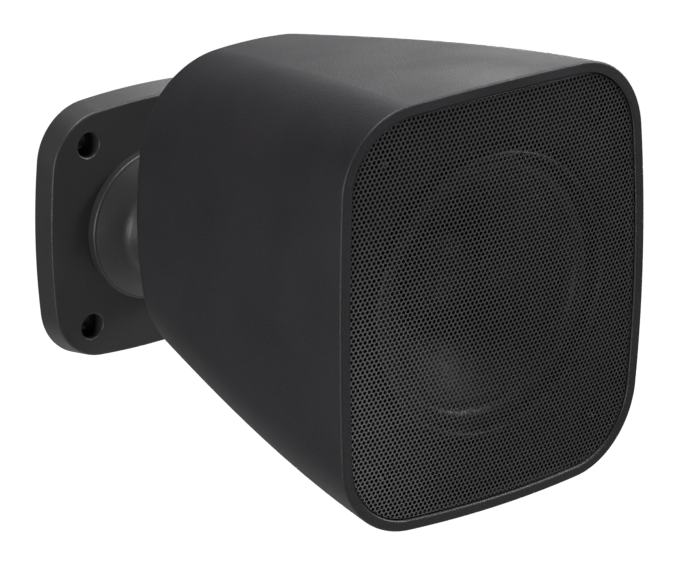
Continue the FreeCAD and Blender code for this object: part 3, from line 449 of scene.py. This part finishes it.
def pebble(depth, inset, steps):
    # points and outward directions round the section, anticlockwise seen from the front
    share = (depth + cabinet["lead"]) / cabinet["reach"]
    curve = share ** cabinet["taper"]

    def between(key, part):
        front, rear = cabinet[key]
        return front + (rear - front) * part

    halfWidth = between("halfWidth", curve) - inset
    halfHeight = between("halfHeight", curve) - inset
    sideRadius = between("sideRadius", share) - inset
    corner = between("corner", share) - inset
    # the corner's centre is inside both side arcs at the same distance
    sideX, sideZ = halfWidth - sideRadius, halfHeight - sideRadius
    reach = sideRadius - corner
    low, high = 0.0, min(halfWidth, halfHeight)
    for _ in range(section["halvings"]):
        # slide the centre along the right side's arc until the top arc is as near
        middle = (low + high) / 2
        x = sideX + math.sqrt(reach ** 2 - middle ** 2)
        if math.hypot(x, middle - sideZ) > reach:
            high = middle
        else:
            low = middle
    centre = (x, middle)
    flat = math.atan2(centre[1], centre[0] - sideX)
    upright = math.atan2(centre[1] - sideZ, centre[0])
    quarter = []
    for start, end, hub, radius, portion in (
            (0.0, flat, (sideX, 0.0), sideRadius, section["sideShare"]),
            (flat, upright, centre, corner, section["cornerShare"]),
            (upright, math.pi / 2, (0.0, sideZ), sideRadius, section["topShare"])):
        count = max(section["fewest"], round(steps * portion))
        for step in range(count):
            angle = start + (end - start) * step / count
            way = Vector((math.cos(angle), math.sin(angle)))
            quarter.append((Vector(hub) + way * radius, way))
    right = quarter[1:]
    quarter.append((Vector((0.0, halfHeight)), Vector((0.0, 1.0))))

    def mirrored(spots, x, z):
        return [(Vector((p.x * x, p.y * z)), Vector((n.x * x, n.y * z))) for p, n in spots]

    return (quarter + mirrored(reversed(right), -1, 1)
            + mirrored(quarter, -1, -1) + mirrored(reversed(right), 1, -1))


def crownDepth(x, z):  # how far the crowned front falls back at a place
    across = cabinet["crownAcross"] - math.sqrt(cabinet["crownAcross"] ** 2 - x * x)
    return cabinet["crownUpright"] - math.sqrt((cabinet["crownUpright"] - across) ** 2 - z * z)


def place(x, depth, z):  # cabinet millimetres to the frame's metres
    return Vector((x * mm, (cabinet["frontY"] + depth) * mm, (cabinet["rise"] + z) * mm))


# Meshes and geometry trees

def newObject(name, data):
    made = bpy.data.objects.new(name, data)
    bpy.context.scene.collection.objects.link(made)
    return made


def meshObject(name, points, faces):
    mesh = bpy.data.meshes.new(name)
    mesh.from_pydata(points, [], faces)
    mesh.update()
    return newObject(name, mesh)


def bandFaces(rows, count, closed=True):
    # four-sided faces between following rows of points, where each row is a closed loop
    faces = []
    for row in range(rows if closed else rows - 1):
        here, there = row * count, (row + 1) % rows * count
        for spot in range(count):
            beside = (spot + 1) % count
            faces.append((here + spot, here + beside, there + beside, there + spot))
    return faces


def outward(piece, merge=None):
    made = bmesh.new()
    made.from_mesh(piece.data)
    if merge:
        bmesh.ops.remove_doubles(made, verts=made.verts, dist=merge)
    bmesh.ops.recalc_face_normals(made, faces=made.faces)
    made.to_mesh(piece.data)
    made.free()
    return piece


def smoothed(piece, angle):
    # merged, turned outwards and smooth except at edges sharper than the angle
    outward(piece, merge=1e-7)
    piece.data.shade_smooth()
    piece.data.set_sharp_from_angle(angle=math.radians(angle))
    return piece


class Shaper(Graph):
    def __init__(self, name, sizes):  # sizes gives the inputs as name: kind of socket
        tree = bpy.data.node_groups.new(name, "GeometryNodeTree")
        super().__init__(tree)
        tree.interface.new_socket("Geometry", in_out="OUTPUT", socket_type="NodeSocketGeometry")
        for label, kind in sizes.items():
            tree.interface.new_socket(label, in_out="INPUT", socket_type="NodeSocket" + kind)
        first = tree.nodes.new("NodeGroupInput")
        self.size = {label: Wire(self, first.outputs[label]) for label in sizes}

    def shape(self, label):  # the mesh of an input object
        return self.node("GeometryNodeObjectInfo", {}, {"Object": self.size[label]},
                         output="Geometry")

    def vector(self, parts):
        return self.node("ShaderNodeCombineXYZ", {}, parts)

    def merge(self, geometry, distance):
        return self.node("GeometryNodeMergeByDistance", {}, {
            "Geometry": geometry, "Distance": distance})

    def realise(self, geometry):
        return self.node("GeometryNodeRealizeInstances", {}, {"Geometry": geometry})

    def close(self, geometry):
        done = self.node("GeometryNodeSetMaterial", {}, {
            "Geometry": self.realise(geometry), "Material": self.size["Finish"]})
        self.node("NodeGroupOutput", {}, {"Geometry": done})

    def run(self, name, values):
        # the tree's result as a plain mesh of its own
        carrier = meshObject(name + "Carrier", [(0, 0, 0)], [])
        modifier = carrier.modifiers.new("nodes", "NODES")
        modifier.node_group = self.tree
        for item in self.tree.interface.items_tree:
            if item.in_out == "INPUT":
                modifier[item.identifier] = values[item.name]
        carrier.update_tag()
        graph = bpy.context.evaluated_depsgraph_get()
        mesh = bpy.data.meshes.new_from_object(carrier.evaluated_get(graph))
        mesh.name = name
        made = newObject(name, mesh)
        carrier.modifiers.clear()
        bpy.data.objects.remove(carrier)
        return made


# Grille: a staggered field of round holes, wrapped on the crown and cut to the outline,
# with a folded edge

grille = dict(pitch=1.5, row=1.243, hole=0.63, sides=8, sheet=0.15, outlineDepth=5.6,
              outlineInset=3.5, fieldInset=0.22, steps=60, foldSteps=4, tightestFold=0.04,
              foldAngle=40, across=76, rows=103)
fieldWork = dict(evenRows=500, rayStart=5.0, rayLength=20.0, beyond=0.7, onRow=0.01,
                 cellMerge=0.002, edgeMerge=0.012, wallMerge=0.0005, wholly=0.99)


def holeCell(name):
    # one stretched hexagon with a round hole, flat
    halfPitch, row = grille["pitch"] / 2, grille["row"]
    point, shoulder = row * 2 / 3, row / 3
    outer = [(halfPitch, shoulder), (0.0, point), (-halfPitch, shoulder),
             (-halfPitch, -shoulder), (0.0, -point), (halfPitch, -shoulder)]
    inner = []
    for side in range(grille["sides"]):
        angle = fullTurn * (side + 0.5) / grille["sides"]
        inner.append((grille["hole"] * math.cos(angle), grille["hole"] * math.sin(angle)))
    corners, sides = len(outer), len(inner)
    angles = [math.atan2(y, x) % fullTurn for x, y in outer + inner]
    outerOrder = sorted(range(corners), key=lambda i: angles[i])
    innerOrder = sorted(range(corners, corners + sides), key=lambda i: angles[i])
    faces, a, b = [], 0, 0
    while a < corners or b < sides:  # walk both rings, closing a triangle at each step
        here, there = outerOrder[a % corners], innerOrder[b % sides]
        nextOuter, nextInner = outerOrder[(a + 1) % corners], innerOrder[(b + 1) % sides]
        outerTurn = angles[nextOuter] + fullTurn * ((a + 1) // corners)
        innerTurn = angles[nextInner] + fullTurn * ((b + 1) // sides)
        if b >= sides or (a < corners and outerTurn <= innerTurn):
            faces.append((here, nextOuter, there))
            a += 1
        else:
            faces.append((here, nextInner, there))
            b += 1
    return meshObject(name, [(x, y, 0.0) for x, y in outer + inner], faces)


def perforationTree():
    work = fieldWork
    graph = Shaper("perforatedSheet", {
        "Cell": "Object", "Outline": "Object", "Pitch": "Float", "Row": "Float",
        "Across": "Int", "Rows": "Int", "Sheet": "Float", "Crown across": "Float",
        "Crown upright": "Float", "Front": "Float", "Rise": "Float", "Half": "Float",
        "Finish": "Material"})
    size = graph.size
    grid = graph.node("GeometryNodeMeshGrid", {}, {
        "Size X": size["Pitch"] * (size["Across"] - 1),
        "Size Y": size["Row"] * (size["Rows"] - 1),
        "Vertices X": size["Across"], "Vertices Y": size["Rows"]})
    position = graph.node("GeometryNodeInputPosition")
    axes = graph.outputs(graph.node("ShaderNodeSeparateXYZ", {}, {"Vector": position}))
    x, y, z = axes["X"], axes["Y"], axes["Z"]
    odd = (y / size["Row"] + work["evenRows"]).of("ROUND").of("MODULO", 2.0)
    stagger = graph.vector({"X": (odd - 0.5) * size["Pitch"] * 0.5})
    field = graph.node("GeometryNodeSetPosition", {}, {"Geometry": grid, "Offset": stagger})

    edge = graph.shape("Outline")
    near = graph.outputs(graph.node(
        "GeometryNodeProximity", {"target_element": "EDGES"}, {0: edge}))
    above = graph.node("ShaderNodeVectorMath", {"operation": "ADD"}, {
        0: position, 1: (0.0, 0.0, work["rayStart"])})
    outside = 1 - graph.node("GeometryNodeRaycast", {}, {
        "Target Geometry": edge, "Source Position": above,
        "Ray Direction": (0.0, 0.0, -1.0), "Ray Length": work["rayLength"]})
    # rows of the other half, and cells that lie wholly beyond the outline, are dropped
    beyond = outside * (near["Distance"] > size["Pitch"] * work["beyond"])
    otherHalf = (y + work["onRow"]) * size["Half"] < 0.0
    kept = graph.node("GeometryNodeDeleteGeometry", {"domain": "POINT"}, {
        "Geometry": field, "Selection": (beyond + otherHalf) > 0.5})
    cells = graph.node("GeometryNodeInstanceOnPoints", {}, {
        "Points": kept, "Instance": graph.shape("Cell")})
    joined = graph.merge(graph.realise(cells), work["cellMerge"])

    def onDomain(wire, domain):
        return graph.node("GeometryNodeFieldOnDomain", {
            "domain": domain, "data_type": "FLOAT"}, {0: wire})

    # faces past the outline go, and what still crosses it is drawn back on to it
    faceOutside = onDomain(onDomain(outside, "POINT"), "FACE")
    trimmed = graph.node("GeometryNodeDeleteGeometry", {"domain": "FACE"}, {
        "Geometry": joined, "Selection": faceOutside > work["wholly"]})
    drawn = graph.node("GeometryNodeSetPosition", {}, {
        "Geometry": trimmed, "Selection": outside > 0.5, "Position": near["Position"]})
    front = graph.merge(drawn, work["edgeMerge"])

    # the sheet's thickness: the back and the hole walls come from the same cells turned over
    turned = graph.node("GeometryNodeFlipFaces", {}, {"Mesh": front})
    back = graph.node("GeometryNodeExtrudeMesh", {"mode": "FACES"}, {
        "Mesh": turned, "Offset": graph.vector({"Z": 0 - size["Sheet"]}),
        "Offset Scale": 1.0, "Individual": False})
    both = graph.node("GeometryNodeJoinGeometry", {}, {"Geometry": [front, back]})
    solid = graph.merge(both, work["wallMerge"])

    # on to the crown, in the frame's metres
    crownAcross, crownUpright = size["Crown across"], size["Crown upright"]
    fall = crownAcross - (crownAcross * crownAcross - x * x).of("SQRT")
    arm = crownUpright - fall
    depth = crownUpright - (arm * arm - y * y).of("SQRT")
    target = graph.vector({
        "X": x * mm, "Y": (size["Front"] + depth - z) * mm, "Z": (size["Rise"] + y) * mm})
    wrapped = graph.node("GeometryNodeSetPosition", {}, {"Geometry": solid, "Position": target})
    graph.close(graph.node("GeometryNodeSetShadeSmooth", {}, {
        "Geometry": wrapped, "Shade Smooth": False}))
    return graph


def foldedEdge(name):
    # the sheet's edge rolled over and run back to the baffle, a closed band round the outline
    ring = pebble(grille["outlineDepth"], grille["outlineInset"], grille["steps"])
    radius, sheet, steps = grille["fieldInset"], grille["sheet"], grille["foldSteps"]

    def arc(bend):  # from the field round to the side, as inset and fall
        turns = [math.pi / 2 * step / steps for step in range(steps + 1)]
        return [(radius - bend * math.sin(turn), radius - bend * math.cos(turn))
                for turn in turns]

    foot = [(0.0, None), (sheet, None)]  # no fall: on the baffle
    inner = max(radius - sheet, grille["tightestFold"])
    stations = arc(radius) + foot + arc(inner)[::-1]
    points = []
    for spot, way in ring:
        for inset, fall in stations:
            x, z = spot.x - way.x * inset, spot.y - way.y * inset
            depth = grille["outlineDepth"] if fall is None else crownDepth(x, z) + fall
            points.append(place(x, depth, z))
    made = meshObject(name, points, bandFaces(len(ring), len(stations)))
    made.data.materials.append(finishes["grille_metal"])
    return smoothed(made, grille["foldAngle"])


fieldRing = pebble(grille["outlineDepth"], grille["outlineInset"] + grille["fieldInset"],
                   grille["steps"])
outline = meshObject("fieldOutline", [(p.x, p.y, 0.0) for p, _ in fieldRing],
                     [list(range(len(fieldRing)))])
cell = holeCell("holeCell")
perforated = perforationTree()
for half, label in ((1.0, "grille_field_upper"), (-1.0, "grille_field_lower")):
    sheetPiece = perforated.run(label, {
        "Cell": cell, "Outline": outline, "Pitch": grille["pitch"], "Row": grille["row"],
        "Across": grille["across"], "Rows": grille["rows"], "Sheet": grille["sheet"],
        "Crown across": cabinet["crownAcross"], "Crown upright": cabinet["crownUpright"],
        "Front": cabinet["frontY"], "Rise": cabinet["rise"], "Half": half,
        "Finish": finishes["grille_metal"]})
    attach(sheetPiece, "speaker")
    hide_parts("grille")
    sheetPiece.data.calc_loop_triangles()
    print(label, len(sheetPiece.data.loop_triangles), "triangles")
edgeBand = foldedEdge("grille_fold")
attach(edgeBand, "speaker")
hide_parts("grille")
for helper in (outline, cell):
    bpy.data.objects.remove(helper)
print("grille made")


# Screws: turned heads with a recess cut into them, set out on their spots

screwTurning = dict(around=32, sharp=32, clear=0.2)  # clear: how far a cutter starts above the head
panScrew = dict(radius=2.9, height=2.0, brim=0.7, shank=1.5, domeSteps=6)
crossRecess = dict(reach=1.75, floorReach=0.95, half=0.42, floorHalf=0.34, depth=1.25)
clampScrew = dict(radius=2.0, height=1.2, bevel=0.25)
slotRecess = dict(reach=2.4, half=0.3, depth=0.6)


def lathed(name, profile, way):
    # a closed piece turned about Y from (radius, height) points, the first and last on the axis
    around = screwTurning["around"]
    points = []
    for radius, height in profile[1:-1]:
        for step in range(around):
            angle = fullTurn * step / around
            points.append((radius * math.cos(angle) * mm, way * height * mm,
                           radius * math.sin(angle) * mm))
    rings = len(profile) - 2
    faces = bandFaces(rings, around, closed=False)
    for ring, height in ((0, profile[0][1]), (rings - 1, profile[-1][1])):
        points.append((0.0, way * height * mm, 0.0))
        for step in range(around):
            faces.append((ring * around + step, ring * around + (step + 1) % around,
                          len(points) - 1))
    return outward(meshObject(name, points, faces))


def prism(name, mouth, floor, top, bottom, way):
    # a cutter that narrows from its mouth to its floor
    count = len(mouth)
    points = [(x * mm, way * top * mm, z * mm) for x, z in mouth]
    points += [(x * mm, way * bottom * mm, z * mm) for x, z in floor]
    faces = [tuple(range(count)), tuple(range(count, 2 * count))]
    faces += bandFaces(2, count, closed=False)
    return outward(meshObject(name, points, faces))


def crossOutline(reach, half):
    arm = [(reach, -half), (reach, half), (half, half)]
    turns = ((1, 0), (0, 1), (-1, 0), (0, -1))
    return [(x * c - z * s, x * s + z * c) for c, s in turns for x, z in arm]


def slotOutline(reach, half):
    return [(reach, half), (-reach, half), (-reach, -half), (reach, -half)]


def screwTree():
    graph = Shaper("screwSet", {
        "Head": "Object", "Cutter": "Object", "Spots": "Object", "Seed": "Int",
        "Finish": "Material"})
    cut = graph.node("GeometryNodeMeshBoolean", {"operation": "DIFFERENCE"}, {
        "Mesh 1": graph.shape("Head"), "Mesh 2": [graph.shape("Cutter")]})
    turn = graph.node("FunctionNodeRandomValue", {"data_type": "FLOAT"}, {
        "Min": 0.0, "Max": fullTurn, "Seed": graph.size["Seed"]}, output=1)
    graph.close(graph.node("GeometryNodeInstanceOnPoints", {}, {
        "Points": graph.shape("Spots"), "Instance": cut, "Rotation": graph.vector({"Y": turn})}))
    return graph


def panProfile(length):
    head = panScrew
    rise = head["height"] - head["brim"]
    bend = (head["radius"] ** 2 + rise ** 2) / (2 * rise)
    widest = math.asin(head["radius"] / bend)
    profile = []
    for step in range(head["domeSteps"] + 1):
        angle = widest * step / head["domeSteps"]
        profile.append((bend * math.sin(angle), bend - head["height"] - bend * math.cos(angle)))
    return profile + [(head["radius"], 0.0), (head["shank"], 0.0),
                      (head["shank"], length), (0.0, length)]


def clampProfile():
    head = clampScrew
    return [(0.0, -head["height"]), (head["radius"] - head["bevel"], -head["height"]),
            (head["radius"], head["bevel"] - head["height"]), (head["radius"], 0.0), (0.0, 0.0)]


screwSets = {  # spots as (x, z) in the cabinet, the seat's depth, the way the shank runs
    "baffle_screws": dict(
        profile=panProfile(12.0), spots=[(x, z) for x in (-38.95, 38.95) for z in (-46.2, 46.2)],
        depth=7.0, way=1, recess="cross", slot="screw_steel", seed=3),
    "terminal_screws": dict(
        profile=panProfile(8.0), spots=[(-15.2, 20.0), (15.2, 20.0)],
        depth=123.6, way=-1, recess="cross", slot="screw_steel", seed=8),
    "clamp_screws": dict(
        profile=clampProfile(), spots=[(-4.3, 20.0), (4.3, 20.0)],
        depth=118.8, way=-1, recess="slot", slot="clamp_brass", seed=5),
}
screwing = screwTree()
for node, kind in screwSets.items():
    head = lathed("screwHead", kind["profile"], kind["way"])
    crown = kind["profile"][0][1]
    if kind["recess"] == "cross":
        recess = crossRecess
        mouth = crossOutline(recess["reach"], recess["half"])
        floor = crossOutline(recess["floorReach"], recess["floorHalf"])
    else:
        recess = slotRecess
        mouth = floor = slotOutline(recess["reach"], recess["half"])
    cutter = prism("screwCutter", mouth, floor, crown - screwTurning["clear"],
                   crown + recess["depth"], kind["way"])
    spots = meshObject("screwSpots", [place(x, kind["depth"], z) for x, z in kind["spots"]], [])
    screwPiece = smoothed(screwing.run(node.replace("_screws", "_screw_set"), {
        "Head": head, "Cutter": cutter, "Spots": spots, "Seed": kind["seed"],
        "Finish": finishes[kind["slot"]]}), screwTurning["sharp"])
    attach(screwPiece, "speaker")
    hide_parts(node)
    for helper in (head, cutter, spots):
        bpy.data.objects.remove(helper)
print("screws made")


# A half-round bead on the baffle round the driver's opening, seen through the grille

openingBead = dict(radius=41.2, half=1.0, height=2.0, seat=5.6, steps=12, around=160, sharp=40)


def makeBead():
    bead = openingBead
    points = []
    for step in range(bead["around"]):
        turn = fullTurn * step / bead["around"]
        for rung in range(bead["steps"] + 1):
            angle = math.pi * rung / bead["steps"]
            radius = bead["radius"] + bead["half"] * math.cos(angle)
            depth = bead["seat"] - bead["height"] * math.sin(angle)
            points.append(place(radius * math.cos(turn), depth, radius * math.sin(turn)))
    faces = bandFaces(bead["around"], bead["steps"] + 1)
    made = smoothed(meshObject("opening_bead", points, faces), bead["sharp"])
    made.data.materials.append(finishes["surround_rubber"])
    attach(made, "speaker")


makeBead()
print("bead made")


# Stage: camera, a pale floor far below, soft lights. Sizes in metres, except for the camera's
# turn in radians, its shift in millimetres and its focus and width in pixels

camera = dict(turn=(0.334, -0.672, -0.119), shiftBack=(45.49, 4.375, 1205.0),
              focus=4299.0, width=680.0, sensor=36.0, nearest=0.05, farthest=60.0)
floorLook = dict(drop=-2.4, half=16.0, grey=238, shift=2, drift=900.0, rough=0.9, glow=0.01)
studio = dict(ambient=0.03, aim=(0.0, -0.09, 0.02))
lamps = {  # power in watts
    "backLow": dict(at=(1.7, 1.43, 0.9), size=1.0, power=11.0),
    "backLeft": dict(at=(0.71, 1.95, 1.2), size=1.0, power=0.8),
    "rightHigh": dict(at=(1.9, -0.7, 1.3), size=0.8, power=64.0),
    "leftLow": dict(at=(-2.0, -0.6, 0.0), size=1.0, power=31.0),
    "leftBack": dict(at=(-1.9, 0.7, 0.1), size=1.2, power=4.0),
    "leftFront": dict(at=(-1.6, -1.6, -0.3), size=0.8, power=2.0),
    "frontLow": dict(at=(0.7, -1.75, -0.84), aim=(-0.04, -0.17, -0.02), size=0.5, power=1.8),
    "frontTop": dict(at=(0.2, -1.9, 1.2), size=0.5, power=1.5),
    "frontRight": dict(at=(1.5, -1.6, 0.8), size=0.6, power=5.0),
    "top": dict(at=(0.0, -0.1, 2.2), size=1.2, power=60.0),
    "behindRight": dict(at=(1.8, 1.6, -0.86), size=1.2, power=60.0),
}


def makeCamera():
    turn = Vector(camera["turn"])
    spin = Matrix.Rotation(turn.length, 3, turn.normalized())
    upright = Matrix(((1, 0, 0), (0, 0, -1), (0, 1, 0)))
    view = spin @ upright  # rows: right, down and forward of the picture, in the object's axes
    eye = -(view.transposed() @ Vector(camera["shiftBack"]))
    data = bpy.data.cameras.new("camera")
    data.sensor_width = camera["sensor"]
    data.lens = camera["focus"] / camera["width"] * camera["sensor"]
    data.clip_start, data.clip_end = camera["nearest"], camera["farthest"]
    made = newObject("camera", data)
    basis = Matrix((view[0], -view[1], -view[2])).transposed()
    made.matrix_world = Matrix.Translation(place(eye.x, eye.y, eye.z)) @ basis.to_4x4()
    bpy.context.scene.camera = made


def makeFloor():
    look = floorLook
    half, drop = look["half"], look["drop"]
    corners = [(-half, -half), (half, -half), (half, half), (-half, half)]
    made = meshObject("floor", [(x, y, drop) for x, y in corners], [(0, 1, 2, 3)])
    finish = Finish("floorPaper")
    colour = finish.blendColours(
        finish.noise(look["drift"], detail=1.0),
        tone(look["grey"] - look["shift"]), tone(look["grey"] + look["shift"]))
    made.data.materials.append(finish.close({
        "Base Color": colour, "Roughness": look["rough"],
        "Emission Color": finish.groundColour(look["glow"]), "Emission Strength": 1.0}))


def makeLights():
    for name, lamp in lamps.items():
        data = bpy.data.lights.new(name, "AREA")
        data.energy = lamp["power"]
        data.shape, data.size = "DISK", lamp["size"]
        way = Vector(lamp.get("aim", studio["aim"])) - Vector(lamp["at"])
        turn = way.to_track_quat("-Z", "Y").to_matrix().to_4x4()
        newObject(name, data).matrix_world = Matrix.Translation(lamp["at"]) @ turn
    world = bpy.data.worlds.new("studio")
    world.use_nodes = True
    world.node_tree.nodes.clear()
    graph = Graph(world.node_tree)
    sky = graph.node("ShaderNodeBackground", {}, {
        "Color": graph.groundColour(studio["ambient"]), "Strength": 1.0})
    graph.node("ShaderNodeOutputWorld", {}, {"Surface": sky})
    bpy.context.scene.world = world


bpy.context.scene.view_settings.view_transform = "Standard"
makeCamera()
makeFloor()
makeLights()
print("stage set")
